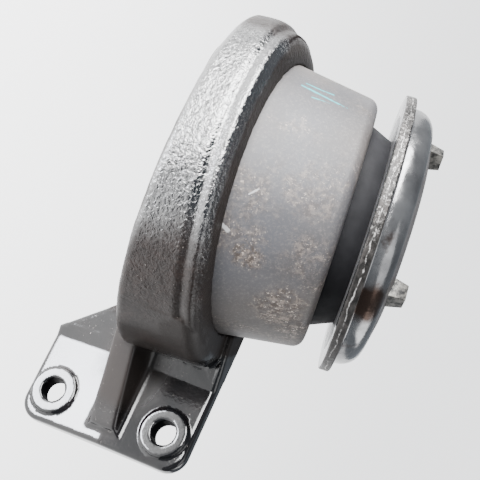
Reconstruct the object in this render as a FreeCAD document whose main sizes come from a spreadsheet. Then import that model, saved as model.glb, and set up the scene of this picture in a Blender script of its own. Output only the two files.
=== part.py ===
import FreeCAD, Part
import math
import os
import Sketcher

# Hydraulic engine mount: a cast bracket with a bolted foot and an eye, a tapered steel can pressed into
# the eye, and inside it the rubber spring, its core and the fluid chamber's closing pieces. A domed stop
# plate with three locating dogs sits on the core.
#
# Bracket frame: origin midway between the two foot bolts, on the foot's mating face. +X runs from the
# eye to the foot's free edge, +Y out of the mating face, +Z up along the foot, towards the stop plate.
# Mount frame: origin where the bush axis meets the eye's lower face, +Z up the bush axis.

SIZES = {
    # how the bush stands in the bracket
    "arm_length": (125, "bolt line to bush axis, along X"),
    "axis_offset": (63.5, "mating face to bush axis, along Y"),
    "axis_rise": (8.5, "bolt line centre up to the eye's lower face"),
    "axis_lean": (16, "degrees the bush axis leans towards the mating side"),
    "axis_toe": (6, "degrees the bush axis leans away from the foot"),
    # eye of the casting
    "eye_radius": (95.5, "outside of the eye"),
    "eye_height": (43, "eye's lower face to upper face, on the bush axis"),
    "eye_shoulder": (19, "round of the upper outer edge"),
    "eye_edge": (4, "round of the lower outer edge"),
    "upper_roll": (9.6, "degrees the upper face rises towards the mating side"),
    "upper_pitch": (3.4, "degrees the upper face falls towards the foot"),
    "lower_roll": (2.1, "degrees the lower face rises towards the mating side"),
    "lower_pitch": (6.9, "degrees the lower face falls towards the foot"),
    # foot of the casting
    "foot_thick": (11, "foot plate at the parting line, level with the rib"),
    "foot_draft": (4.5, "degrees of draft on the foot's front, both ways from the parting line"),
    "foot_low": (52.8, "bolt centre down to the foot's lower side"),
    "foot_high": (52.3, "bolt centre up to the foot's upper side"),
    "foot_edge": (19, "bolt line to the foot's free edge"),
    "foot_corner": (12, "corner round of the foot"),
    "foot_round": (2.5, "round of the foot's front rim"),
    "root_reach": (74, "bolt line to the root of the foot inside the eye"),
    "web_bend": (31.5, "bolt line to the bend where the web starts"),
    "web_slope": (20, "degrees the web thickens towards the eye"),
    "gusset_start": (38, "bolt line to the lower end of the gusset"),
    "gusset_angle": (32, "degrees of the gusset from the vertical side"),
    "bolt_spacing": (72, "between the foot bolts"),
    "bolt_hole": (14, "clearance hole for an M12 flange bolt"),
    "spot_diameter": (27.5, "raised spot face round a bolt hole"),
    "spot_level": (10.5, "mating face to spot face"),
    # rib between the eye and the foot
    "rib_width": (17, "rib across its root"),
    "rib_rise": (2.5, "rib centre above the bolt centre"),
    "rib_toe": (9.5, "bolt line to the rib's toe, towards the free edge"),
    "rib_toe_height": (3.5, "rib above the foot at its toe"),
    "rib_slope": (26.5, "degrees of the crest from the foot"),
    "rib_draft": (3, "degrees of draft on the rib's flanks"),
    "rib_fillet": (4, "fillet between rib and foot"),
    # can
    "can_radius": (75.5, "outside of the can's straight part"),
    "can_wall": (2.5, "sheet thickness"),
    "can_below": (4, "can below the eye's lower face"),
    "can_straight": (38, "eye's lower face up to the start of the taper"),
    "can_top": (85, "eye's lower face up to the rolled mouth"),
    "can_taper": (6.7, "the can's radius lost from its straight part to its rolled mouth"),
    "can_roll": (6.5, "outer round of the rolled mouth"),
    "mouth_lip": (12.8, "rolled mouth from its outside to its opening"),
    "crimp_width": (7, "lower edge rolled in under the base cup"),
    # stop plate
    "plate_seat": (97, "eye's lower face up to the underside of the flange"),
    "plate_thick": (5.5, "stamped sheet of the stop plate"),
    "flange_radius": (76.5, "sheared rim of the stop plate"),
    "flange_width": (5.5, "flange outside the dome"),
    "dome_height": (16, "dome above the flange"),
    "dome_flat": (47, "radius of the dome's flat top"),
    "dome_fall": (5, "fall of the top from the flat to the side"),
    "dome_round": (11, "round between top and side"),
    "bolt_bore": (21, "hole for the centre bolt"),
    # locating dogs
    "dog_circle": (49.5, "radius of the dogs' circle"),
    "dog_base": (12, "square foot of a dog"),
    "dog_tip": (8.5, "square tip of a dog"),
    "dog_height": (7, "dog above the dome's flat"),
    "dog_turn": (27, "degrees a dog is turned about itself"),
    "dog_phase": (204, "degrees from +X to the first dog"),
    "dog_shank": (8, "shank through the stop plate"),
    "dog_sink": (3, "dog's head below the dome's flat, down to the falling part"),
    # core
    "core_top": (38, "radius of the core under its disc, which fills the dome"),
    "core_tip": (22, "radius of the core's lower end"),
    "core_length": (44, "core below its disc"),
    "thread_bore": (17.5, "tapping bore of the M20 centre thread"),
    "thread_depth": (42, "depth of the centre thread"),
    # rubber spring
    "neck_radius": (50.8, "rubber neck at the flange"),
    "skin": (3, "rubber over the core's lower end"),
    "spring_foot": (11, "spring's foot on the channel plate, from the can inwards"),
    # fluid chamber
    "channel_thick": (8, "channel plate"),
    "channel_land": (4.5, "channel plate between the channel and the can"),
    "channel_width": (5, "width of the channel"),
    "channel_depth": (5, "depth of the channel"),
    "inlet_reach": (5, "inlet notch past the spring's foot, into the chamber"),
    "port_diameter": (5, "port from the channel down to the diaphragm"),
    "bead_thick": (4, "clamped bead of the diaphragm"),
    "bead_width": (4, "clamped bead of the diaphragm, radially"),
    "film_thick": (2, "diaphragm"),
    "film_sag": (14, "depth of the diaphragm's dish"),
    "cup_wall": (2.5, "base cup sheet"),
    "vent_diameter": (8, "vent in the base cup"),
}


class Size:
    """A number together with the spreadsheet expression that drives it."""

    def __init__(self, value, text):
        self.value = value
        self.text = text

    @staticmethod
    def of(other):
        return other if isinstance(other, Size) else Size(other, repr(other))

    def __add__(self, other):
        other = Size.of(other)
        return Size(self.value + other.value, f"({self.text} + {other.text})")

    def __sub__(self, other):
        other = Size.of(other)
        return Size(self.value - other.value, f"({self.text} - {other.text})")

    def __mul__(self, other):
        other = Size.of(other)
        return Size(self.value * other.value, f"({self.text} * {other.text})")

    def __truediv__(self, other):
        other = Size.of(other)
        return Size(self.value / other.value, f"({self.text} / {other.text})")

    def __neg__(self):
        return Size(-self.value, f"(-{self.text})")


def tan(angle):
    """Tangent of a Size in degrees."""
    return Size(math.tan(math.radians(angle.value)), f"tan({angle.text} * 1deg)")


def cos(angle):
    """Cosine of a Size in degrees."""
    return Size(math.cos(math.radians(angle.value)), f"cos({angle.text} * 1deg)")


def sin(angle):
    """Sine of a Size in degrees."""
    return Size(math.sin(math.radians(angle.value)), f"sin({angle.text} * 1deg)")


ZERO = Size(0.0, "0")
DOGS = 3


class Namespace:
    """Sizes by name, such as of.can_wall."""


def make_sheet(doc):
    """Put every driving size into the spreadsheet and return them by name."""
    sheet = doc.addObject("Spreadsheet::Sheet", "Sizes")
    sizes = Namespace()
    for row, (name, (value, note)) in enumerate(SIZES.items(), start=1):
        sheet.set(f"A{row}", name)
        sheet.set(f"B{row}", str(value))
        sheet.set(f"C{row}", note)
        sheet.setAlias(f"B{row}", name)
        setattr(sizes, name, Size(float(value), f"Sizes.{name}"))
    doc.recompute()
    return sizes


doc = FreeCAD.newDocument("engine_mount")
of = make_sheet(doc)

can_inside = of.can_radius - of.can_wall
can_neck = of.can_radius - of.can_taper
mouth_radius = can_neck - of.mouth_lip
chamber_radius = can_inside - of.spring_foot
dome_radius = of.flange_radius - of.flange_width


# ---------------------------------------------------------------- drawing helpers

def bind(item, prop, size):
    """Give a property its value and the expression that drives it."""
    size = Size.of(size)
    item.setExpression(prop, size.text)


def placement_text(base, turns=(ZERO, ZERO, ZERO)):
    """Expression of a placement with a base point and yaw, pitch and roll in degrees."""
    point = "; ".join(Size.of(part).text for part in base)
    angles = "; ".join(Size.of(part).text for part in turns)
    return f"placement(vector({point}); rotation({angles}))"


BUSH = placement_text(
    (-of.arm_length, -of.axis_offset, of.axis_rise),
    (ZERO, -of.axis_toe, -of.axis_lean),
)


def place(item, *steps):
    """Drive an object's placement by one or more placements, outermost first."""
    item.setExpression("Placement", " * ".join(steps))


def new_body(label):
    body = doc.addObject("PartDesign::Body", label)
    body.Label = label
    return body


def new_sketch(body, name, role):
    """Sketch on one of the body's own origin planes."""
    sketch = body.newObject("Sketcher::SketchObject", name)
    plane = [item for item in body.Origin.OriginFeatures if item.Role == role][0]
    sketch.AttachmentSupport = [(plane, "")]
    sketch.MapMode = "FlatFace"
    return sketch


def pin_point(sketch, geometry, end, at):
    """Hold a point of the sketch at two driven coordinates."""
    for kind, size in zip(("DistanceX", "DistanceY"), at):
        size = Size.of(size)
        index = sketch.addConstraint(Sketcher.Constraint(kind, -1, 1, geometry, end, size.value))
        sketch.setExpression(f"Constraints[{index}]", size.text)


def draw_outline(sketch, points):
    """Closed outline of straight lines through driven points."""
    count = len(points)
    spots = [FreeCAD.Vector(Size.of(x).value, Size.of(y).value, 0) for x, y in points]
    lines = [sketch.addGeometry(Part.LineSegment(spots[i], spots[(i + 1) % count])) for i in range(count)]
    for i in range(count):
        sketch.addConstraint(Sketcher.Constraint("Coincident", lines[i], 2, lines[(i + 1) % count], 1))
    for line, at in zip(lines, points):
        pin_point(sketch, line, 1, at)
    return sketch


def draw_circle(sketch, centre, diameter):
    """Circle with a driven centre and diameter."""
    at = FreeCAD.Vector(Size.of(centre[0]).value, Size.of(centre[1]).value, 0)
    circle = sketch.addGeometry(Part.Circle(at, FreeCAD.Vector(0, 0, 1), diameter.value / 2))
    pin_point(sketch, circle, 3, centre)
    index = sketch.addConstraint(Sketcher.Constraint("Diameter", circle, diameter.value))
    sketch.setExpression(f"Constraints[{index}]", diameter.text)
    return sketch


def revolve(body, name, points):
    """Turn an outline of (radius, height) points a full turn about the body's Z axis."""
    sketch = draw_outline(new_sketch(body, f"{name}_outline", "XZ_Plane"), points)
    turned = body.newObject("PartDesign::Revolution", name)
    turned.Profile = sketch
    turned.ReferenceAxis = (sketch, ["V_Axis"])
    turned.Angle = 360
    doc.recompute()
    return turned


def round_edges(body, name, radius, picked):
    """Fillet the edges of the body's tip that picked() accepts."""
    base = body.Tip
    names = [f"Edge{i}" for i, edge in enumerate(base.Shape.Edges, start=1) if picked(edge)]
    if not names:
        raise RuntimeError(f"no edge found for {name}")
    fillet = body.newObject("PartDesign::Fillet", name)
    fillet.Base = (base, names)
    bind(fillet, "Radius", radius)
    doc.recompute()
    return fillet


def is_ellipse(edge):
    return isinstance(edge.Curve, Part.Ellipse)


def is_ring(edge, radius, height, slack=0.01):
    """True for a circle about the body's Z axis with this radius and height."""
    curve = edge.Curve
    if not isinstance(curve, Part.Circle):
        return False
    centre = curve.Center
    off_axis = math.hypot(centre.x, centre.y)
    return max(off_axis, abs(curve.Radius - radius.value), abs(centre.z - height.value)) < slack


def fillet_part(name, base, radius, picked):
    """Part fillet of the edges of an object that picked() accepts."""
    numbers = [i for i, edge in enumerate(base.Shape.Edges, start=1) if picked(edge)]
    if not numbers:
        raise RuntimeError(f"no edge found for {name}")
    fillet = doc.addObject("Part::Fillet", name)
    fillet.Base = base
    fillet.Edges = [(number, radius.value, radius.value) for number in numbers]
    doc.recompute()
    return fillet


def cut_outline(body, name, role, points):
    """Cut an outline through the whole body, both ways from its plane."""
    cut = body.newObject("PartDesign::Pocket", name)
    cut.Profile = draw_outline(new_sketch(body, f"{name}_outline", role), points)
    cut.Type = "ThroughAll"
    cut.Midplane = True
    before = body.Shape.Volume
    doc.recompute()
    if not cut.Shape.Volume < before:
        raise RuntimeError(f"{name} cuts nothing")
    return cut


def combine(kind, name, base, tool):
    """Boolean of two objects, kind being Cut or Fuse."""
    joined = doc.addObject(f"Part::{kind}", name)
    joined.Base = base
    joined.Tool = tool
    doc.recompute()
    return joined


# ---------------------------------------------------------------- bracket casting

def make_eye():
    """Eye of the casting: a ring whose two faces spread towards the root of the foot."""
    ring = new_body("eye_ring")
    bottom = -(of.eye_height + of.eye_radius)
    revolve(ring, "eye_turned", [
        (of.eye_radius, ZERO), (of.eye_radius, bottom), (ZERO, bottom), (ZERO, ZERO),
    ])
    round_edges(ring, "eye_shoulder_round", of.eye_shoulder, lambda edge: is_ring(edge, of.eye_radius, ZERO))
    upper_face = placement_text((0, 0, of.eye_height), (ZERO, of.upper_pitch, of.upper_roll))
    place(ring, BUSH, upper_face)

    below = doc.addObject("Part::Box", "below_eye")
    side = of.eye_radius * 4
    for prop in ("Length", "Width", "Height"):
        bind(below, prop, side)
    lower_face = placement_text((0, 0, 0), (ZERO, of.lower_pitch, of.lower_roll))
    place(below, BUSH, lower_face, placement_text((-side / 2, -side / 2, -side)))

    wedge = combine("Cut", "eye_wedge", ring, below)
    rim = max((edge for edge in wedge.Shape.Edges if is_ellipse(edge)), key=lambda edge: edge.Length)
    return fillet_part("eye", wedge, of.eye_edge, lambda edge: edge.isSame(rim))


def make_foot():
    """Foot plate with its web, gusset, rib, raised spot faces and bolt holes."""
    foot = new_body("foot")
    front = -of.foot_thick
    web_rise = (of.root_reach - of.web_bend) * tan(of.web_slope)
    web_front = front - web_rise
    gusset_width = (of.root_reach - of.gusset_start) / tan(of.gusset_angle)
    rib_rise = (of.rib_toe + of.root_reach) * tan(of.rib_slope) + of.rib_toe_height
    rib_front = front - rib_rise

    slab = foot.newObject("PartDesign::Pad", "foot_slab")
    slab.Profile = draw_outline(new_sketch(foot, "foot_outline", "XZ_Plane"), [
        (of.foot_edge, -of.foot_low),
        (of.foot_edge, of.foot_high),
        (-of.root_reach, of.foot_high),
        (-of.root_reach, gusset_width - of.foot_low),
        (-of.gusset_start, -of.foot_low),
    ])
    bind(slab, "Length", web_rise + of.foot_thick)
    doc.recompute()
    cut_outline(foot, "foot_front", "XY_Plane", [
        (of.foot_edge * 2, front),
        (-of.web_bend, front),
        (-of.root_reach, web_front),
        (-of.root_reach, web_front * 2),
        (of.foot_edge * 2, web_front * 2),
    ])

    drafted = [
        (of.foot_edge * 2, ZERO),
        (-of.web_bend, ZERO),
        (-of.root_reach, -web_rise),
        (-of.root_reach, -web_rise * 2),
        (of.foot_edge * 2, -web_rise * 2),
    ]
    for name, side in (("lower", 1), ("upper", -1)):
        cut = foot.newObject("PartDesign::Pocket", f"{name}_draft")
        sketch = draw_outline(new_sketch(foot, f"{name}_draft_outline", "XY_Plane"), drafted)
        parting = placement_text((0, front, of.rib_rise), (ZERO, ZERO, of.foot_draft * side))
        sketch.setExpression("AttachmentOffset", parting)
        cut.Profile = sketch
        cut.Reversed = side < 0
        bind(cut, "Length", of.foot_high * 2)
        doc.recompute()

    def at_free_corner(edge):
        box = edge.BoundBox
        return box.YLength > of.foot_thick.value / 2 and box.XMin > of.foot_edge.value - 0.01

    def on_front_rim(edge):
        box = edge.BoundBox
        on_side = box.ZMin < 0.01 - of.foot_low.value or box.ZMax > of.foot_high.value - 0.01
        at_free_edge = box.XMin > of.foot_edge.value - 0.01
        return box.YMax < -1 and (at_free_edge or on_side and box.XLength > 1)

    round_edges(foot, "foot_corners", of.foot_corner, at_free_corner)
    add_rib(foot, front, rib_front)
    round_edges(foot, "foot_rim", of.foot_round, on_front_rim)
    cut_rib_crest(foot, front, rib_front)
    add_bolt_seats(foot, front)
    return foot


def add_rib(foot, front, rib_front):
    """Drafted rib that climbs from its toe on the foot into the eye."""
    root = of.rib_width / 2
    crest = root + (rib_front - front) * tan(of.rib_draft)
    base = root - front / 2 * tan(of.rib_draft)
    rib = foot.newObject("PartDesign::Pad", "rib_block")
    sketch = new_sketch(foot, "rib_section", "YZ_Plane")
    sketch.setExpression("AttachmentOffset.Base.z", of.rib_toe.text)
    rib.Profile = draw_outline(sketch, [
        (front / 2, of.rib_rise - base),
        (rib_front, of.rib_rise - crest),
        (rib_front, of.rib_rise + crest),
        (front / 2, of.rib_rise + base),
    ])
    rib.Reversed = True
    bind(rib, "Length", of.rib_toe + of.root_reach)
    doc.recompute()

    def at_rib_root(edge):
        box = edge.BoundBox
        on_foot = front.value - 0.01 < box.YMax < -1 and box.YMin > rib_front.value + 1
        from_rib = max(box.ZMax - of.rib_rise.value, of.rib_rise.value - box.ZMin)
        return on_foot and abs(from_rib - root.value) < 0.5 and box.XMax > -of.root_reach.value / 2

    round_edges(foot, "rib_root_round", of.rib_fillet, at_rib_root)


def cut_rib_crest(foot, front, rib_front):
    """Slope the rib from its low toe up to its full height."""
    cut_outline(foot, "rib_crest", "XY_Plane", [
        (of.rib_toe * 2, front - of.rib_toe_height),
        (of.rib_toe, front - of.rib_toe_height),
        (-of.root_reach, rib_front),
        (-of.root_reach, rib_front * 2),
        (of.rib_toe * 2, rib_front * 2),
    ])


def add_bolt_seats(foot, front):
    """Two raised spot faces with through holes."""
    for name, side in (("lower", -1), ("upper", 1)):
        centre = (ZERO, of.bolt_spacing * (side * 0.5))
        seat = foot.newObject("PartDesign::Pad", f"{name}_spot")
        seat.Profile = draw_circle(new_sketch(foot, f"{name}_spot_outline", "XZ_Plane"), centre, of.spot_diameter)
        bind(seat, "Length", of.spot_level)
        doc.recompute()
    for name, side in (("lower", -1), ("upper", 1)):
        centre = (ZERO, of.bolt_spacing * (side * 0.5))
        hole = foot.newObject("PartDesign::Pocket", f"{name}_bolt_hole")
        hole.Profile = draw_circle(new_sketch(foot, f"{name}_hole_outline", "XZ_Plane"), centre, of.bolt_hole)
        hole.Type = "ThroughAll"
        hole.Midplane = True
        doc.recompute()


def make_casting():
    """Eye and foot as one casting, bored for the can."""
    blank = combine("Fuse", "casting_blank", make_eye(), make_foot())
    bore = doc.addObject("Part::Cylinder", "eye_bore")
    bind(bore, "Radius", of.can_radius)
    bind(bore, "Height", of.eye_radius * 4)
    place(bore, BUSH, placement_text((0, 0, -of.eye_radius * 2)))
    return combine("Cut", "bracket_casting", blank, bore)


# ---------------------------------------------------------------- bush, all in the mount frame

def turned_part(label, points):
    """Body turned about the bush axis from an outline of (radius, height) points."""
    body = new_body(label)
    place(body, BUSH)
    revolve(body, f"{label}_turned", points)
    return body


def make_can():
    """Drawn steel can: straight in the eye, tapered above it, rolled in at the mouth and the crimp."""
    neck_inner = can_neck - of.can_wall
    bottom = -of.can_below
    can = turned_part("outer_can", [
        (of.can_radius, bottom),
        (of.can_radius, of.can_straight),
        (can_neck, of.can_top),
        (mouth_radius, of.can_top),
        (mouth_radius, of.can_top - of.can_wall),
        (neck_inner, of.can_top - of.can_wall),
        (can_inside, of.can_straight),
        (can_inside, bottom + of.can_wall),
        (of.can_radius - of.crimp_width, bottom + of.can_wall),
        (of.can_radius - of.crimp_width, bottom),
    ])
    roll_inside = of.can_roll - of.can_wall
    round_edges(can, "mouth_roll", of.can_roll, lambda edge: is_ring(edge, can_neck, of.can_top))
    round_edges(can, "mouth_roll_inside", roll_inside,
                lambda edge: is_ring(edge, neck_inner, of.can_top - of.can_wall))
    round_edges(can, "crimp_round", of.can_wall, lambda edge: is_ring(edge, of.can_radius, bottom))
    return can


def make_core():
    """Core under the stop plate: a disc that fills the dome and a cone with the centre thread."""
    under = of.plate_seat + of.dome_height
    disc_radius = dome_radius - of.plate_thick
    return turned_part("core", [
        (of.thread_bore / 2, under),
        (of.dome_flat, under),
        (disc_radius, under - of.dome_fall),
        (disc_radius, of.plate_seat),
        (of.core_top, of.plate_seat),
        (of.core_tip, of.plate_seat - of.core_length),
        (ZERO, of.plate_seat - of.core_length),
        (ZERO, under - of.thread_depth),
        (of.thread_bore / 2, under - of.thread_depth),
    ])


def make_rubber_spring():
    """Rubber bonded to the can and the core, its underside the roof of the fluid chamber."""
    tip = of.plate_seat - of.core_length
    neck_inner = can_neck - of.can_wall
    mouth_bottom = of.can_top - of.can_wall
    spring = turned_part("rubber_spring", [
        (ZERO, tip - of.skin),
        (ZERO, tip),
        (of.core_tip, tip),
        (of.core_top, of.plate_seat),
        (of.neck_radius, of.plate_seat),
        (mouth_radius, of.can_top),
        (mouth_radius, mouth_bottom),
        (neck_inner, mouth_bottom),
        (can_inside, of.can_straight),
        (chamber_radius, of.can_straight),
        (of.core_tip + of.skin, tip - of.skin),
    ])
    round_edges(spring, "mouth_side_round", of.can_roll - of.can_wall,
                lambda edge: is_ring(edge, neck_inner, mouth_bottom))
    return spring


def make_stop_blank():
    """Stamped stop plate: a sheared flange and a flat-topped dome, hollow underneath."""
    top = of.plate_seat + of.plate_thick + of.dome_height
    side_top = top - of.dome_fall
    under = top - of.plate_thick
    plate = turned_part("stop_blank", [
        (of.bolt_bore / 2, top),
        (of.dome_flat, top),
        (dome_radius, side_top),
        (dome_radius, of.plate_seat + of.plate_thick),
        (of.flange_radius, of.plate_seat + of.plate_thick),
        (of.flange_radius, of.plate_seat),
        (dome_radius - of.plate_thick, of.plate_seat),
        (dome_radius - of.plate_thick, side_top - of.plate_thick),
        (of.dome_flat, under),
        (of.bolt_bore / 2, under),
    ])
    round_edges(plate, "dome_side_round", of.dome_round, lambda edge: is_ring(edge, dome_radius, side_top))
    return plate


def make_dog(name, turn, stop_blank, core):
    """Locating dog: a tapered square head on the dome and a shank through the plate to the core."""
    top = of.plate_seat + of.plate_thick + of.dome_height
    spot = placement_text((of.dog_circle * cos(turn), of.dog_circle * sin(turn), top), (turn, ZERO, ZERO))

    head = doc.addObject("Part::Wedge", f"{name}_head")
    base = of.dog_base / 2
    tip = of.dog_tip / 2
    for side in ("X", "Z"):
        bind(head, f"{side}min", -base)
        bind(head, f"{side}max", base)
        bind(head, f"{side}2min", -tip)
        bind(head, f"{side}2max", tip)
    bind(head, "Ymin", -of.dog_sink)
    bind(head, "Ymax", of.dog_height)
    place(head, BUSH, spot, placement_text((0, 0, 0), (of.dog_turn, ZERO, Size.of(90))))
    seated = combine("Cut", f"{name}_seated", head, stop_blank)

    shank = doc.addObject("Part::Cylinder", f"{name}_shank")
    depth = of.plate_thick * 2
    bind(shank, "Radius", of.dog_shank / 2)
    bind(shank, "Height", depth + of.dog_sink)
    place(shank, BUSH, spot, placement_text((0, 0, -depth)))
    landed = combine("Cut", f"{name}_landed", shank, core)
    return combine("Fuse", name, seated, landed), shank


def make_channel_plate():
    """Plate below the spring with the channel in its rim, an inlet notch and an outlet port."""
    bottom = of.can_straight - of.channel_thick
    floor = of.can_straight - of.channel_depth
    outer = can_inside - of.channel_land
    inner = outer - of.channel_width
    channel_middle = outer - of.channel_width / 2
    inlet_start = chamber_radius - of.inlet_reach
    plate = turned_part("channel_plate", [
        (ZERO, bottom),
        (can_inside, bottom),
        (can_inside, of.can_straight),
        (outer, of.can_straight),
        (outer, floor),
        (inner, floor),
        (inner, of.can_straight),
        (ZERO, of.can_straight),
    ])
    notch = plate.newObject("PartDesign::Pocket", "inlet_notch")
    sketch = draw_outline(new_sketch(plate, "inlet_outline", "XY_Plane"), [
        (inlet_start, -of.channel_width / 2),
        (channel_middle, -of.channel_width / 2),
        (channel_middle, of.channel_width / 2),
        (inlet_start, of.channel_width / 2),
    ])
    sketch.setExpression("AttachmentOffset.Base.z", of.can_straight.text)
    notch.Profile = sketch
    bind(notch, "Length", of.channel_depth)
    doc.recompute()
    port = plate.newObject("PartDesign::Pocket", "outlet_port")
    port.Profile = draw_circle(new_sketch(plate, "outlet_outline", "XY_Plane"), (-channel_middle, ZERO),
                               of.port_diameter)
    port.Type = "ThroughAll"
    port.Midplane = True
    doc.recompute()
    return plate


def make_diaphragm():
    """Rubber diaphragm: a bead clamped under the channel plate and a dished film."""
    top = of.can_straight - of.channel_thick
    bead_inner = can_inside - of.bead_width
    film_top = top - of.bead_thick + of.film_thick
    turn_radius = bead_inner - of.film_sag
    return turned_part("diaphragm", [
        (ZERO, film_top - of.film_sag - of.film_thick),
        (ZERO, film_top - of.film_sag),
        (turn_radius, film_top - of.film_sag),
        (bead_inner, film_top),
        (bead_inner, top),
        (can_inside, top),
        (can_inside, top - of.bead_thick),
        (bead_inner, top - of.bead_thick),
        (turn_radius, film_top - of.film_sag - of.film_thick),
    ])


def make_base_cup():
    """Sheet cup that closes the can from below and clamps the diaphragm's bead."""
    bottom = of.can_wall - of.can_below
    top = of.can_straight - of.channel_thick - of.bead_thick
    return turned_part("base_cup", [
        (of.vent_diameter / 2, bottom),
        (can_inside, bottom),
        (can_inside, top),
        (can_inside - of.cup_wall, top),
        (can_inside - of.cup_wall, bottom + of.cup_wall),
        (of.vent_diameter / 2, bottom + of.cup_wall),
    ])


# ---------------------------------------------------------------- build, check and write

def make_parts():
    """Every piece of the mount by its name."""
    core = make_core()
    stop_blank = make_stop_blank()
    dogs = {}
    shanks = []
    for number in range(DOGS):
        name = f"locating_dog_{number + 1}"
        turn = of.dog_phase + 360 * number / DOGS
        dogs[name], shank = make_dog(name, turn, stop_blank, core)
        shanks.append(shank)
    drill = doc.addObject("Part::MultiFuse", "dog_holes")
    drill.Shapes = shanks
    doc.recompute()
    return {
        "bracket_casting": make_casting(),
        "outer_can": make_can(),
        "rubber_spring": make_rubber_spring(),
        "core": core,
        "stop_plate": combine("Cut", "stop_plate", stop_blank, drill),
        **dogs,
        "channel_plate": make_channel_plate(),
        "diaphragm": make_diaphragm(),
        "base_cup": make_base_cup(),
    }


def check_document(parts):
    """Stop with a message when anything in the document is broken."""
    for item in doc.Objects:
        if {"Invalid", "Error"} & set(item.State):
            raise RuntimeError(f"{item.Name} did not recompute: {item.State}")
        if hasattr(item, "Shape") and item.TypeId.startswith(("Part", "PartDesign")):
            if item.Shape.isNull() or not item.Shape.isValid():
                raise RuntimeError(f"{item.Name} has no valid shape")
    for name, item in parts.items():
        if len(item.Shape.Solids) != 1:
            raise RuntimeError(f"{name} has {len(item.Shape.Solids)} solids")


PARTS = make_parts()
doc.recompute()
check_document(PARTS)
os.makedirs("parts", exist_ok=True)
for name, item in PARTS.items():
    item.Label = name
    item.Shape.exportStep(f"parts/{name}.step")
    print(name, round(item.Shape.Volume / 1000, 1), "cm3")
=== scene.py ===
import math
import bmesh
import bpy
from mathutils import Matrix, Vector, noise


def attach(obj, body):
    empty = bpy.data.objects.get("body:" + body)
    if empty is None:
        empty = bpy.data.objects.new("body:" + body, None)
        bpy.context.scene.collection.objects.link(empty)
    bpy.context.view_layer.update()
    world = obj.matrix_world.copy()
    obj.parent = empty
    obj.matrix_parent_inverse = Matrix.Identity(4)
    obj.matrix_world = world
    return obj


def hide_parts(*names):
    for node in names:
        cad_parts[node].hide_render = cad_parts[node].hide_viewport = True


MM = 0.001

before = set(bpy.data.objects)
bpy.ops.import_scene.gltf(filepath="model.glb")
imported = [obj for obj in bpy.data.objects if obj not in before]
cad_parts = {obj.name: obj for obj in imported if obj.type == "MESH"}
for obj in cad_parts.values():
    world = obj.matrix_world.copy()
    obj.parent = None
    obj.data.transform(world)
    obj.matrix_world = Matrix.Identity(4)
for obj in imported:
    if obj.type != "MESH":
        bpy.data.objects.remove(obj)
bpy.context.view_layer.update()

# Lengths are in mm and angles in degrees, unless a comment says otherwise.
# Heights count up the bush axis from the eye's lower face, and radii count from that axis.

# Bush axis in the part's frame, and the eye with its tilted upper face.
AXIS_AT = Vector((-125, -63.5, 8.5))
AXIS_TOE = 6
AXIS_LEAN = 16
EYE_RADIUS = 95.5
EYE_HEIGHT = 43
EYE_FACE_PITCH = 3.4
EYE_FACE_ROLL = 9.6

# The eye's shoulder: how round it is in the CAD and on its tight side, and where that side fades in and out.
EYE_SHOULDER = 19.0
TIGHT_SHOULDER = 9.0
TIGHT_FROM, TIGHT_FADE_IN = -150, 50
TIGHT_TO, TIGHT_FADE_OUT = 70, 40
SHOULDER_FIT = 0.6
SHOULDER_START = 0.3

# The eye's cast skin: radii where it starts and is full, and the flash line and groove below the upper face.
ROUGH_FROM, ROUGH_FULL = 79, 85
EYE_BEFORE_X = -40
FLASH_BAND = 6
FLASH_DEPTH, FLASH_RISE, FLASH_WIDTH = 4.0, 0.9, 1.8
GROOVE_DEPTH, GROOVE_DROP, GROOVE_WIDTH = 9.0, 1.4, 2.2

# The rib's box in the part's frame, the bolt holes, and radii where the eye's upper face turns glossy.
RIB_MIDDLE, RIB_HALF = 2.5, 13
RIB_FROM_X, RIB_BELOW_Y = -80, -13
BOLT_RISE = 36
BOLT_DULL, BOLT_GLOSS = 10.2, 11.2
DULL_TO, GLOSS_FROM = 85, 90
CASTING_VOXEL = 1.08

# Can.
SHEET = 2.5
CAN_RADIUS = 75.5
CAN_NECK = 68.8
CAN_BOTTOM = -4
CAN_STRAIGHT = 38
CAN_TOP = 85
CAN_ROLL = 6.5
MOUTH_RADIUS = 56
MOUTH_ROUND = 1.1
CRIMP_RADIUS = 68.5

# Rubber spring, and the core that it is bonded to.
SPRING_TIP = 50
CORE_TIP = 53
CORE_TIP_RADIUS = 22
CORE_TOP_RADIUS = 38
NECK_RADIUS = 50.8
CHAMBER_RADIUS = 62

# Stop plate, with the radii where its top turns bright and the height of the rim's torn line.
PLATE_SEAT = 97
PLATE_THICK = 5.5
FLANGE_RADIUS = 76.5
DOME_RADIUS = 71
DOME_FLAT = 47
DOME_TOP = 118.5
DOME_FALL = 5
DOME_ROUND = 11
DOME_EASE = 30
BOLT_BORE = 10.5
EDGE_BREAK = 1
RIM_BREAK = 0.8
TOP_DULL, SIDE_BRIGHT = 60, 66
TORN_LINE = 99.6

# Angles above which an edge stays sharp in the shading, and the dogs' broken edges.
TURN_CREASE = 35
DOG_CREASE = 50
DOG_SHARP = 40
DOG_EDGE = 0.5

# Floor below the part's origin, and the point in metres that the lights shine on.
FLOOR_DROP = 300
PART_MIDDLE = (-0.085, -0.05, 0.045)

# Input and output numbers of the mix node's colour sockets.
MIX_FACTOR, MIX_A, MIX_B, MIX_RESULT = 0, 6, 7, 2

# Mount frame: origin where the bush axis meets the eye's lower face, +Z up the bush axis.
BUSH = (
    Matrix.Translation(AXIS_AT * MM)
    @ Matrix.Rotation(math.radians(-AXIS_TOE), 4, "Y")
    @ Matrix.Rotation(math.radians(-AXIS_LEAN), 4, "X")
)

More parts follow.
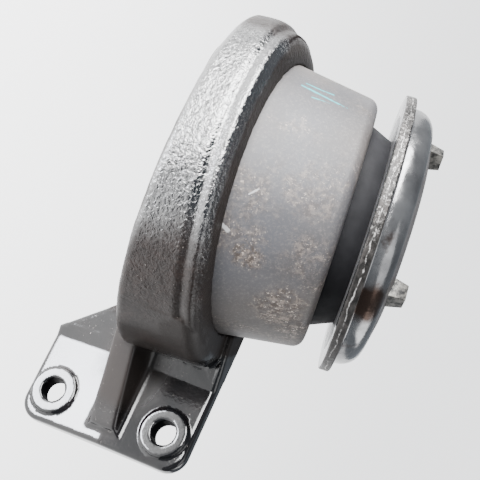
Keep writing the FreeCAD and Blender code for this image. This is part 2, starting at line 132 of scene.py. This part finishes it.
# Frame of the eye's upper face: +Z out of the face.
FACE = (
    BUSH
    @ Matrix.Translation((0, 0, EYE_HEIGHT * MM))
    @ Matrix.Rotation(math.radians(EYE_FACE_PITCH), 4, "Y")
    @ Matrix.Rotation(math.radians(EYE_FACE_ROLL), 4, "X")
)


def on_bush(radius, angle, height):
    """Point in the scene at a radius, an angle in degrees and a height in the mount frame, in mm."""
    turn = math.radians(angle)
    return BUSH @ (Vector((radius * math.cos(turn), radius * math.sin(turn), height)) * MM)


# ---------------------------------------------------------------- node helpers

class Nodes:
    """Short way to build a material's node tree."""

    def __init__(self, name):
        self.material = bpy.data.materials.new(name)
        self.material.use_nodes = True
        self.tree = self.material.node_tree
        self.shader = self.tree.nodes["Principled BSDF"]
        self.place = self.add("ShaderNodeTexCoord").outputs["Object"]

    def add(self, kind, **values):
        """A new node with some of its settings."""
        node = self.tree.nodes.new(kind)
        for key, value in values.items():
            setattr(node, key, value)
        return node

    def link(self, value, socket):
        """Connect an output to a socket, or set the socket's value."""
        if isinstance(value, bpy.types.NodeSocket):
            self.tree.links.new(value, socket)
        else:
            socket.default_value = value

    def set(self, **values):
        """Feed the shader's inputs by name."""
        for key, value in values.items():
            name = key.replace("_", " ").title().replace("Ior", "IOR")
            self.link(value, self.shader.inputs[name])

    def noise(self, scale, detail=3.0, rough=0.5, distortion=0.0):
        """Noise value, with its scale per metre of the part."""
        node = self.add("ShaderNodeTexNoise")
        self.link(self.place, node.inputs["Vector"])
        node.inputs["Scale"].default_value = scale
        node.inputs["Detail"].default_value = detail
        node.inputs["Roughness"].default_value = rough
        node.inputs["Distortion"].default_value = distortion
        return node.outputs["Fac"]

    def ramp(self, value, low, high, out_low=0.0, out_high=1.0):
        """Smooth step from one output value to another between two input values."""
        node = self.add("ShaderNodeMapRange", interpolation_type="SMOOTHSTEP")
        for socket, item in zip(node.inputs[:5], (value, low, high, out_low, out_high)):
            self.link(item, socket)
        return node.outputs["Result"]

    def distance(self, centre):
        """Distance from a point in metres."""
        node = self.add("ShaderNodeVectorMath", operation="DISTANCE")
        self.link(self.place, node.inputs[0])
        node.inputs[1].default_value = centre
        return node.outputs["Value"]

    def spot(self, centre, radius, ragged=0.5, scale=60):
        """Mask of a ragged patch round a point, with the radius in mm."""
        away = self.math("DIVIDE", self.distance(centre), radius * MM)
        reach = self.math("ADD", away, self.wander(scale, 4, 0.65, ragged * 2))
        return self.ramp(reach, 0.55, 1.05, 1.0, 0.0)

    def near(self, centre, full, none):
        """Clean mask round a point: one within the first distance in mm, nothing past the second."""
        return self.ramp(self.distance(centre), full * MM, none * MM, 1.0, 0.0)

    def height(self):
        """Height along the bush axis in mm."""
        node = self.add("ShaderNodeVectorMath", operation="DOT_PRODUCT")
        self.link(self.place, node.inputs[0])
        axis = BUSH.to_3x3() @ Vector((0, 0, 1))
        node.inputs[1].default_value = axis
        above = self.math("SUBTRACT", node.outputs["Value"], BUSH.translation.dot(axis))
        return self.math("DIVIDE", above, MM)

    def radius(self):
        """Distance from the bush axis in mm."""
        away = self.add("ShaderNodeVectorMath", operation="SUBTRACT")
        self.link(self.place, away.inputs[0])
        away.inputs[1].default_value = BUSH.translation
        across = self.add("ShaderNodeVectorMath", operation="CROSS_PRODUCT")
        self.link(away.outputs["Vector"], across.inputs[0])
        across.inputs[1].default_value = BUSH.to_3x3() @ Vector((0, 0, 1))
        reach = self.add("ShaderNodeVectorMath", operation="LENGTH")
        self.link(across.outputs["Vector"], reach.inputs[0])
        return self.math("DIVIDE", reach.outputs["Value"], MM)

    def stroke(self, width, *points):
        """Mask of a worn stroke through some points, with its width in mm."""
        reach = None
        for start, end in zip(points, points[1:]):
            along = end - start
            away = self.add("ShaderNodeVectorMath", operation="SUBTRACT")
            self.link(self.place, away.inputs[0])
            away.inputs[1].default_value = start
            share = self.add("ShaderNodeVectorMath", operation="DOT_PRODUCT")
            self.link(away.outputs["Vector"], share.inputs[0])
            share.inputs[1].default_value = along / along.length_squared
            held = self.add("ShaderNodeClamp")
            self.link(share.outputs["Value"], held.inputs["Value"])
            foot = self.add("ShaderNodeVectorMath", operation="SCALE")
            foot.inputs[0].default_value = along
            self.link(held.outputs["Result"], foot.inputs["Scale"])
            gap = self.add("ShaderNodeVectorMath", operation="DISTANCE")
            self.link(away.outputs["Vector"], gap.inputs[0])
            self.link(foot.outputs["Vector"], gap.inputs[1])
            value = gap.outputs["Value"]
            reach = value if reach is None else self.math("MINIMUM", reach, value)
        wander = self.math("MULTIPLY", self.noise(500, 3, 0.7), width * MM)
        return self.ramp(self.math("ADD", reach, wander), width * MM * 0.8, width * MM * 1.1, 1.0, 0.0)

    def times(self, *values):
        """Product of several values."""
        product = values[0]
        for value in values[1:]:
            product = self.math("MULTIPLY", product, value)
        return product

    def patches(self, scale, low, high, detail=4, rough=0.7):
        """Mask of noise patches: none below one noise value, full above the other."""
        return self.ramp(self.noise(scale, detail, rough), low, high)

    def wander(self, scale, detail, rough, size):
        """Noise round zero that makes an edge ragged, with its full swing in the edge's own unit."""
        return self.times(self.math("SUBTRACT", self.noise(scale, detail, rough), 0.5), size)

    def most(self, *masks):
        """The largest of several masks."""
        value = masks[0]
        for mask in masks[1:]:
            value = self.math("MAXIMUM", value, mask)
        return value

    def math(self, kind, a, b=0.0):
        """Result of a calculation on two values."""
        node = self.add("ShaderNodeMath", operation=kind)
        self.link(a, node.inputs[0])
        self.link(b, node.inputs[1])
        return node.outputs[0]

    def mix(self, factor, a, b):
        """Colour between two colours."""
        node = self.add("ShaderNodeMix", data_type="RGBA")
        self.link(factor, node.inputs[MIX_FACTOR])
        for socket, item in ((node.inputs[MIX_A], a), (node.inputs[MIX_B], b)):
            self.link(item if isinstance(item, bpy.types.NodeSocket) else (*item, 1.0), socket)
        return node.outputs[MIX_RESULT]

    def bump(self, *layers):
        """Stack bumps, each a height value and its depth in millimetres."""
        normal = None
        for height, depth in layers:
            node = self.add("ShaderNodeBump")
            node.inputs["Distance"].default_value = depth * MM
            self.link(height, node.inputs["Height"])
            if normal is not None:
                self.link(normal, node.inputs["Normal"])
            normal = node.outputs["Normal"]
        self.link(normal, self.shader.inputs["Normal"])


def paint_material():
    """Glossy black paint over a rough casting.

    It is dull and brown beside the can and on the rib, and without gloss in the bolt holes. Low on the eye
    and at the eye's top end it is also made dull and rust-brown, as painted shade.
    """
    n = Nodes("casting_paint")
    deep_black, worn_black = (0.0015, 0.0015, 0.0018), (0.0035, 0.0034, 0.0038)
    deep_rust, light_rust = (0.0060, 0.0036, 0.0028), (0.0120, 0.0074, 0.0060)
    dull_brown, dust_grey = (0.0125, 0.0098, 0.0086), (0.12, 0.11, 0.10)
    black = n.mix(n.patches(28, 0.35, 0.7, 4, 0.6), deep_black, worn_black)
    dull_edge = n.math("ADD", n.radius(), n.wander(55, 4, 0.6, 6))
    beside_can = n.most(
        n.ramp(dull_edge, DULL_TO, GLOSS_FROM, 1.0, 0.0),
        n.spot(on_bush(91, -8, 39), 36, 0.3, 40),
    )
    bores = n.most(*(
        n.near(Vector((0, -2, rise)) * MM, BOLT_DULL, BOLT_GLOSS) for rise in (BOLT_RISE, -BOLT_RISE)
    ))
    # Painted shade: the eye's low side and its top end are made dull and rust-brown where shade falls on
    # them.
    low = n.most(
        n.spot(on_bush(95, -18, 8), 62, 0.3, 30),
        n.times(n.spot(on_bush(95, -152, 25), 52, 0.3, 30), 0.9),
    )
    rib = n.spot(Vector((-28, -32, 4)) * MM, 38, 0.25, 40)
    # This thin-paint mask also carries the painted shade of the low spots, so the rust colour mixed in below
    # is partly painted shade.
    thin_paint_and_shade = n.most(n.times(n.patches(17, 0.46, 0.70, 3, 0.55), 0.45), low, beside_can, rib)
    rust = n.mix(n.patches(90, 0.4, 0.7), deep_rust, light_rust)
    dusty_and_shade_colour = n.mix(n.most(beside_can, rib), rust, dull_brown)
    dust = n.times(n.patches(620, 0.66, 0.74, 2, 0.8), n.patches(45, 0.45, 0.60, 3, 0.6))
    n.set(base_color=n.mix(dust, n.mix(thin_paint_and_shade, black, dusty_and_shade_colour), dust_grey))
    n.set(roughness=0.5, specular_ior_level=n.ramp(thin_paint_and_shade, 0, 1, 0.0, 0.12))
    dull = n.most(beside_can, bores, n.times(low, 0.8), n.times(rib, 0.6))
    n.set(coat_weight=n.ramp(dull, 0, 1, 1.0, 0.04))
    eye = n.spot(on_bush(60, -110, 15), 135, 0.1, 20)
    n.set(coat_roughness=n.ramp(thin_paint_and_shade, 0, 1, 0.085, 0.22), coat_ior=n.ramp(eye, 0, 1, 1.5, 2.3))
    peel = n.times(n.noise(500, 3, 0.55, distortion=0.5), n.ramp(eye, 0, 1, 0.06, 1.0))
    n.bump((peel, 0.72), (n.noise(1500, 2, 0.5), 0.02))
    n.link(n.shader.inputs["Normal"].links[0].from_socket, n.shader.inputs["Coat Normal"])
    return n.material


def can_material():
    """Matt grey phosphated steel with rust bloom, whitish specks and marker strokes."""
    n = Nodes("can_steel")
    dark_grey, light_grey = (0.031, 0.0275, 0.026), (0.072, 0.064, 0.060)
    blue_grey, pale_grain = (0.052, 0.053, 0.060), (0.130, 0.121, 0.114)
    dark_stain, light_stain, whitish = (0.042, 0.032, 0.027), (0.170, 0.140, 0.118), (0.36, 0.31, 0.27)
    turquoise, bare = (0.012, 0.24, 0.27), (0.30, 0.30, 0.30)
    broad = n.noise(22, 4, 0.6)
    grey = n.mix(n.ramp(broad, 0.3, 0.7), dark_grey, light_grey)
    grey = n.mix(n.patches(9, 0.4, 0.65, 3, 0.5), grey, blue_grey)
    grey = n.mix(n.ramp(n.noise(700, 4, 0.8), 0.48, 0.70, 0.0, 0.5), grey, pale_grain)
    patch = n.most(
        n.spot(on_bush(75, -45, 45), 10, 0.7, 90),
        n.spot(on_bush(71, -22, 68), 17, 0.8, 70),
        n.spot(on_bush(71, -8, 78), 12, 0.8, 70),
        n.times(n.spot(on_bush(72, -75, 66), 16, 0.9, 60), 0.5),
        n.times(n.patches(30, 0.48, 0.66, 4, 0.65), 0.6),
    )
    stain = n.mix(n.patches(400, 0.45, 0.62, 3), dark_stain, light_stain)
    stained = n.mix(n.times(patch, n.ramp(n.noise(260, 4, 0.7), 0.36, 0.60, 0.15, 1.0)), grey, stain)
    specks = n.times(patch, n.patches(650, 0.60, 0.68, 2, 0.8))
    colour = n.mix(specks, stained, whitish)
    marker = n.most(
        n.stroke(1.5, on_bush(75, -120, 45), on_bush(72.5, -119, 57), on_bush(70, -118, 70.5)),
        n.stroke(1.2, on_bush(74.6, -123, 46.6), on_bush(73, -123, 54), on_bush(72, -123.6, 61)),
        n.stroke(1.0, on_bush(73.6, -115, 51.5), on_bush(70.6, -117, 66)),
    )
    colour = n.mix(n.times(marker, 0.95), colour, turquoise)
    scratch_and_drip = n.most(
        n.stroke(1.0, on_bush(75.2, -69, 42), on_bush(75.3, -66, 38)),
        n.stroke(2.2, on_bush(75.5, -51, 33.2), on_bush(75.5, -52.5, 30)),
    )
    n.set(base_color=n.mix(scratch_and_drip, colour, bare))
    n.set(metallic=0.1, roughness=n.ramp(broad, 0.3, 0.7, 0.48, 0.62), ior=1.5)
    n.bump((n.noise(700, 3, 0.6), 0.08), (n.noise(60, 2, 0.5), 0.15), (specks, 0.05))
    return n.material


def rubber_material():
    """Dull black rubber with a faint bloom."""
    n = Nodes("spring_rubber")
    black, bloomed = (0.006, 0.006, 0.007), (0.013, 0.013, 0.0145)
    n.set(base_color=n.mix(n.patches(35, 0.35, 0.7, 4, 0.6), black, bloomed))
    n.set(roughness=n.ramp(n.noise(80, 3, 0.6), 0.3, 0.7, 0.6, 0.75), specular_ior_level=0.15)
    n.bump((n.noise(1200, 2, 0.6), 0.03), (n.noise(150, 2, 0.5), 0.08))
    return n.material


def plate_material():
    """Bright worn steel on the dome's side, dull and brown on its flat top, in rusty patches and in one
    brown spot on the side.
    """
    n = Nodes("plate_steel")
    dark_steel, bright_steel, brown = (0.110, 0.110, 0.113), (0.250, 0.250, 0.253), (0.045, 0.030, 0.024)
    steel = n.mix(n.patches(30, 0.3, 0.7, 4, 0.65), dark_steel, bright_steel)
    # Besides the rust patches, one brown spot is laid on the dome's side.
    rust = n.most(n.times(n.patches(48, 0.58, 0.72), 0.8), n.spot(on_bush(70, -38, 107), 13, 0.5, 80))
    top = n.ramp(n.radius(), TOP_DULL, SIDE_BRIGHT, 1.0, 0.0)
    n.set(base_color=n.mix(n.most(rust, n.times(top, 0.5)), steel, brown))
    n.set(metallic=n.ramp(top, 0, 1, 0.9, 0.3), specular_ior_level=0.3)
    side_roughness = n.ramp(n.noise(75, 4, 0.6), 0.3, 0.7, 0.12, 0.30)
    n.set(roughness=n.math("ADD", side_roughness, n.times(top, 0.3)))
    n.bump((n.noise(600, 3, 0.6), 0.05), (n.noise(90, 3, 0.5), 0.1))
    return n.material


def rim_material():
    """Sheared edge of the stamping: dark scale, bright specks on one side and a torn line round it."""
    n = Nodes("rim_steel")
    black_scale, brown_scale, bare = (0.006, 0.0055, 0.005), (0.035, 0.031, 0.029), (0.34, 0.33, 0.32)
    scale = n.noise(160, 5, 0.7)
    dark = n.mix(n.ramp(scale, 0.35, 0.7), black_scale, brown_scale)
    upper = n.spot(on_bush(76, -115, 100), 78, 0.3, 50)
    ragged_height = n.math("ADD", n.height(), n.wander(110, 4, 0.6, 4.5))
    off = n.math("ABSOLUTE", n.math("SUBTRACT", ragged_height, TORN_LINE))
    torn = n.times(n.ramp(off, 0.1, 0.45, 1.0, 0.0), n.patches(140, 0.42, 0.60, 4, 0.8))
    specks = n.times(n.patches(650, 0.52, 0.64, 3, 0.75), n.ramp(upper, 0.0, 1.0, 0.02, 0.5))
    n.set(base_color=n.mix(n.most(torn, specks), dark, bare))
    n.set(metallic=0.5, roughness=n.ramp(scale, 0.3, 0.7, 0.34, 0.6))
    n.bump((n.noise(260, 4, 0.7), 0.4), (n.noise(900, 3, 0.6), 0.1), (torn, 0.2))
    return n.material


def steel_material(name, dark, light, rough):
    """Plain steel between two tones, for the dogs and the inner pieces."""
    n = Nodes(name)
    n.set(base_color=n.mix(n.patches(260, 0.35, 0.65, 4, 0.65), dark, light))
    n.set(metallic=0.6, roughness=n.ramp(n.noise(150, 3, 0.6), 0.3, 0.7, rough - 0.08, rough + 0.1))
    n.bump((n.noise(500, 3, 0.6), 0.12))
    return n.material


# ---------------------------------------------------------------- mesh helpers

def limited(value):
    """A value kept between 0 and 1."""
    return max(0, min(1, value))


def bell(value, middle, width):
    """Bell curve of height 1 round a middle."""
    return math.exp(-((value - middle) / width) ** 2)


def rounded(points, rounds, steps=6):
    """Closed outline with some of its corners rounded: rounds is {corner index: radius}."""
    out = []
    for i, corner in enumerate(points):
        here = Vector(corner)
        if i not in rounds:
            out.append(tuple(here))
            continue
        before = (Vector(points[i - 1]) - here).normalized()
        after = (Vector(points[(i + 1) % len(points)]) - here).normalized()
        half = before.angle(after) / 2
        reach = rounds[i] / math.tan(half)
        centre = here + (before + after).normalized() * rounds[i] / math.sin(half)
        first = here + before * reach - centre
        last = here + after * reach - centre
        turn = first.angle(last)
        sign = 1 if first.x * last.y - first.y * last.x > 0 else -1
        for k in range(steps + 1):
            angle = sign * turn * k / steps
            c, s = math.cos(angle), math.sin(angle)
            out.append((centre.x + first.x * c - first.y * s, centre.y + first.x * s + first.y * c))
    return out


def lathe(name, outline, segments=256):
    """Closed outline of (radius, height) millimetres turned about the bush axis."""
    mesh = bpy.data.meshes.new(name)
    build = bmesh.new()
    rings = []
    for radius, height in outline:
        if radius < 1e-6:
            rings.append([build.verts.new((0, 0, height * MM))])
            continue
        ring = []
        for k in range(segments):
            angle = 2 * math.pi * k / segments
            at = (radius * MM * math.cos(angle), radius * MM * math.sin(angle), height * MM)
            ring.append(build.verts.new(at))
        rings.append(ring)
    for low, high in zip(rings, rings[1:] + rings[:1]):
        for k in range(segments):
            corners = [
                low[k % len(low)], low[(k + 1) % len(low)], high[(k + 1) % len(high)], high[k % len(high)],
            ]
            unique = list(dict.fromkeys(corners))
            if len(unique) > 2:
                build.faces.new(unique)
    build.transform(BUSH)
    bmesh.ops.recalc_face_normals(build, faces=build.faces)
    build.to_mesh(mesh)
    build.free()
    piece = bpy.data.objects.new(name, mesh)
    bpy.context.collection.objects.link(piece)
    smooth(piece, TURN_CREASE)
    return piece


def smooth(piece, angle):
    """Smooth shading with edges sharper than the angle kept sharp."""
    build = bmesh.new()
    build.from_mesh(piece.data)
    for face in build.faces:
        face.smooth = True
    for edge in build.edges:
        edge.smooth = len(edge.link_faces) < 2 or edge.calc_face_angle() < math.radians(angle)
    build.to_mesh(piece.data)
    build.free()


def finish_piece(piece, node, material):
    """Give a piece its material and let it stand for a node of the CAD."""
    piece.data.materials.clear()
    piece.data.materials.append(material)
    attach(piece, "root")
    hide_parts(node)


def copied(name, node):
    """A new object with a welded copy of a CAD node's mesh."""
    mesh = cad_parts[node].data.copy()
    mesh.name = name
    build = bmesh.new()
    build.from_mesh(mesh)
    bmesh.ops.remove_doubles(build, verts=build.verts, dist=1e-6)
    build.to_mesh(mesh)
    build.free()
    piece = bpy.data.objects.new(name, mesh)
    bpy.context.collection.objects.link(piece)
    return piece


def applied(piece, kind, **values):
    """Add a modifier and bake it into the mesh."""
    step = piece.modifiers.new(kind.lower(), kind)
    for key, value in values.items():
        setattr(step, key, value)
    graph = bpy.context.evaluated_depsgraph_get()
    mesh = bpy.data.meshes.new_from_object(piece.evaluated_get(graph))
    piece.modifiers.clear()
    old = piece.data
    piece.data = mesh
    bpy.data.meshes.remove(old)


# ---------------------------------------------------------------- pieces

paint = paint_material()
steel_can = can_material()
rubber = rubber_material()
steel_plate = plate_material()
steel_rim = rim_material()
steel_dog = steel_material("dog_steel", (0.010, 0.010, 0.010), (0.120, 0.115, 0.105), 0.5)
steel_core = steel_material("core_steel", (0.12, 0.12, 0.125), (0.20, 0.20, 0.205), 0.35)
steel_cup = steel_material("cup_steel", (0.045, 0.045, 0.048), (0.085, 0.085, 0.088), 0.5)


def tighten_shoulder(piece):
    """Make the eye's round shoulder tighter on the eye's low side and keep it full at its high end."""
    to_face = FACE.inverted()
    for vertex in piece.data.vertices:
        at = to_face @ vertex.co / MM
        radius = math.hypot(at.x, at.y)
        along, up = radius - (EYE_RADIUS - EYE_SHOULDER), at.z + EYE_SHOULDER
        on_round = abs(math.hypot(along, up) - EYE_SHOULDER) <= SHOULDER_FIT
        if along < SHOULDER_START or up < SHOULDER_START or not on_round:
            continue
        angle = math.degrees(math.atan2(at.y, at.x))
        near = limited((angle - TIGHT_FROM) / TIGHT_FADE_IN) * limited((TIGHT_TO - angle) / TIGHT_FADE_OUT)
        tight = EYE_SHOULDER - (EYE_SHOULDER - TIGHT_SHOULDER) * near * near * (3 - 2 * near)
        turn = math.atan2(up, along)
        new_radius = EYE_RADIUS - tight + tight * math.cos(turn)
        at = Vector((at.x * new_radius / radius, at.y * new_radius / radius, tight * math.sin(turn) - tight))
        vertex.co = FACE @ (at * MM)


def roughen(piece):
    """Unevenness of the eye's wall, and the flash line round its shoulder with a groove below it.

    Radii and depths are taken in the frame of the eye's upper face.
    """
    to_face = FACE.inverted()
    normals = [vertex.normal.copy() for vertex in piece.data.vertices]
    for vertex, normal in zip(piece.data.vertices, normals):
        at = to_face @ vertex.co / MM
        radius = math.hypot(at.x, at.y)
        if radius < ROUGH_FROM or vertex.co.x > EYE_BEFORE_X * MM:
            continue
        wave = noise.noise(vertex.co * 170) * 0.16 + noise.noise(vertex.co * 45) * 0.35
        flash = 0
        if radius >= EYE_RADIUS - FLASH_BAND:
            outwards = FACE.to_3x3() @ Vector((at.x / radius, at.y / radius, 0))
            flash = FLASH_RISE * bell(-at.z, FLASH_DEPTH, FLASH_WIDTH)
            flash -= GROOVE_DROP * bell(-at.z, GROOVE_DEPTH, GROOVE_WIDTH)
            flash *= limited((normal.dot(outwards) - 0.45) * 4)
        wave *= limited((radius - ROUGH_FROM) / (ROUGH_FULL - ROUGH_FROM))
        vertex.co += normal * (wave + flash) * MM


def soften_rib(piece):
    """Round the rib's crest, as cast."""
    group = piece.vertex_groups.new(name="rib")
    rib = [
        vertex.index for vertex in piece.data.vertices
        if abs(vertex.co.z - RIB_MIDDLE * MM) < RIB_HALF * MM
        and vertex.co.x > RIB_FROM_X * MM and vertex.co.y < RIB_BELOW_Y * MM
    ]
    group.add(rib, 1.0, "REPLACE")
    applied(piece, "SMOOTH", factor=0.5, iterations=14, vertex_group="rib")


def make_casting():
    """The casting as an even mesh, with a tighter shoulder, a soft rib and a rough eye."""
    piece = copied("casting", "bracket_casting")
    tighten_shoulder(piece)
    shape = piece.copy()
    shape.data = piece.data.copy()
    bpy.context.collection.objects.link(shape)
    applied(piece, "REMESH", mode="VOXEL", voxel_size=CASTING_VOXEL * MM)
    applied(piece, "SHRINKWRAP", target=shape, wrap_method="NEAREST_SURFACEPOINT")
    bpy.data.objects.remove(shape)
    soften_rib(piece)
    roughen(piece)
    for face in piece.data.polygons:
        face.use_smooth = True
    finish_piece(piece, "bracket_casting", paint)


def make_can():
    """The can with its rolled mouth and its crimped lower edge."""
    outline = rounded([
        (CAN_RADIUS, CAN_BOTTOM),
        (CAN_RADIUS, CAN_STRAIGHT),
        (CAN_NECK, CAN_TOP),
        (MOUTH_RADIUS, CAN_TOP),
        (MOUTH_RADIUS, CAN_TOP - SHEET),
        (CAN_NECK - SHEET, CAN_TOP - SHEET),
        (CAN_RADIUS - SHEET, CAN_STRAIGHT),
        (CAN_RADIUS - SHEET, CAN_BOTTOM + SHEET),
        (CRIMP_RADIUS, CAN_BOTTOM + SHEET),
        (CRIMP_RADIUS, CAN_BOTTOM),
    ], {0: SHEET, 2: CAN_ROLL, 3: MOUTH_ROUND, 5: CAN_ROLL - SHEET})
    finish_piece(lathe("can", outline), "outer_can", steel_can)


def make_spring():
    """The rubber between can and core, with the chamber's roof below."""
    outline = [
        (0, SPRING_TIP),
        (0, CORE_TIP),
        (CORE_TIP_RADIUS, CORE_TIP),
        (CORE_TOP_RADIUS, PLATE_SEAT),
        (NECK_RADIUS, PLATE_SEAT),
        (MOUTH_RADIUS, CAN_TOP),
        (MOUTH_RADIUS, CAN_TOP - SHEET),
        (CAN_NECK - SHEET, CAN_TOP - SHEET),
        (CAN_RADIUS - SHEET, CAN_STRAIGHT),
        (CHAMBER_RADIUS, CAN_STRAIGHT),
        (CORE_TIP_RADIUS + CORE_TIP - SPRING_TIP, SPRING_TIP),
    ]
    finish_piece(lathe("spring", outline), "rubber_spring", rubber)


def make_stop_plate():
    """The stamped plate, with a material of its own on the sheared rim."""
    flange_top = PLATE_SEAT + PLATE_THICK
    side_top = DOME_TOP - DOME_FALL
    outline = rounded([
        (BOLT_BORE, DOME_TOP),
        (DOME_FLAT, DOME_TOP),
        (DOME_RADIUS, side_top),
        (DOME_RADIUS, flange_top),
        (FLANGE_RADIUS, flange_top),
        (FLANGE_RADIUS, PLATE_SEAT),
        (DOME_RADIUS - PLATE_THICK, PLATE_SEAT),
        (DOME_RADIUS - PLATE_THICK, side_top - PLATE_THICK),
        (DOME_FLAT, DOME_TOP - PLATE_THICK),
        (BOLT_BORE, DOME_TOP - PLATE_THICK),
    ], {0: EDGE_BREAK, 1: DOME_EASE, 2: DOME_ROUND, 3: EDGE_BREAK, 4: RIM_BREAK, 5: RIM_BREAK})
    piece = lathe("stop", outline)
    finish_piece(piece, "stop_plate", steel_plate)
    piece.data.materials.append(steel_rim)
    to_bush = BUSH.inverted()
    for face in piece.data.polygons:
        at = to_bush @ face.center / MM
        if math.hypot(at.x, at.y) > FLANGE_RADIUS - 1.5 and at.z < flange_top + 0.5:
            face.material_index = 1


def make_dogs():
    """The three locating dogs with broken edges."""
    for number in (1, 2, 3):
        node = f"locating_dog_{number}"
        piece = copied(f"dog_{number}", node)
        applied(
            piece, "BEVEL", width=DOG_EDGE * MM, segments=2,
            limit_method="ANGLE", angle_limit=math.radians(DOG_SHARP),
        )
        smooth(piece, DOG_CREASE)
        finish_piece(piece, node, steel_dog)


make_casting()
make_can()
make_spring()
make_stop_plate()
make_dogs()
for node, material in (
    ("core", steel_core), ("base_cup", steel_cup), ("channel_plate", steel_core), ("diaphragm", rubber),
):
    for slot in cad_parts[node].material_slots:
        slot.material = material


# ---------------------------------------------------------------- stage, light and camera

def make_floor():
    """Wide white floor that glows, so that the part stands before an even background."""
    bpy.ops.mesh.primitive_plane_add(size=60, location=(0, 0, -FLOOR_DROP * MM))
    floor = bpy.context.object
    floor.name = "floor"
    n = Nodes("floor")
    n.set(base_color=(0.9, 0.9, 0.9, 1), roughness=0.8, emission_color=(1, 1, 1, 1), emission_strength=2.0)
    floor.data.materials.append(n.material)


def make_light(name, azimuth, elevation, distance, width, height, radiance,
               aim=PART_MIDDLE, spread=180, tint=(1, 1, 1)):
    """Soft box that shines on a point from an azimuth, counted from +X, and an elevation in degrees.

    Its distance, width and height are in metres, and its energy follows from its radiance.
    """
    a, e = math.radians(azimuth), math.radians(elevation)
    way = Vector((math.cos(a) * math.cos(e), math.sin(a) * math.cos(e), math.sin(e)))
    data = bpy.data.lights.new(name, "AREA")
    data.shape = "RECTANGLE"
    data.size = width
    data.size_y = height
    data.spread = math.radians(spread)
    data.color = tint
    data.energy = radiance * math.pi * width * height
    light = bpy.data.objects.new(name, data)
    turn = way.to_track_quat("Z", "Y").to_matrix().to_4x4()
    light.matrix_world = Matrix.Translation(Vector(aim) + way * distance) @ turn
    light.visible_camera = False
    bpy.context.collection.objects.link(light)


def make_world():
    """Faint bluish light from all sides."""
    world = bpy.data.worlds.new("studio")
    world.use_nodes = True
    background = world.node_tree.nodes["Background"]
    background.inputs["Color"].default_value = (0.82, 0.90, 1.0, 1)
    background.inputs["Strength"].default_value = 0.4
    bpy.context.scene.world = world


def make_camera():
    """The photo's camera, with its right and backward directions in the part's frame."""
    right = Vector((-0.410, 0.2305, 0.882)).normalized()
    back = Vector((0.323, -0.868, 0.377))
    back = (back - back.dot(right) * right).normalized()
    up = back.cross(right)
    turn = Matrix((right, up, back)).transposed().to_4x4()
    data = bpy.data.cameras.new("camera")
    data.lens = 80.175
    data.sensor_width = 36
    data.shift_x = 0.078
    data.shift_y = 0.043
    camera = bpy.data.objects.new("camera", data)
    camera.matrix_world = Matrix.Translation((0.099, -0.5495, 0.247)) @ turn
    bpy.context.collection.objects.link(camera)
    bpy.context.scene.camera = camera


make_floor()
make_light("key", azimuth=-122, elevation=10, distance=0.85, width=1.1, height=0.5, radiance=40.0)
make_light("foot", azimuth=-101, elevation=-34, distance=0.40, width=0.20, height=0.20, radiance=6.5,
           aim=(0, -0.011, -0.02), spread=50, tint=(0.9, 0.93, 1.0))
make_light("top", azimuth=-20, elevation=72, distance=1.0, width=0.7, height=0.7, radiance=2.5)
make_light("back", azimuth=50, elevation=35, distance=1.2, width=0.8, height=0.5, radiance=5.0)
make_world()
make_camera()
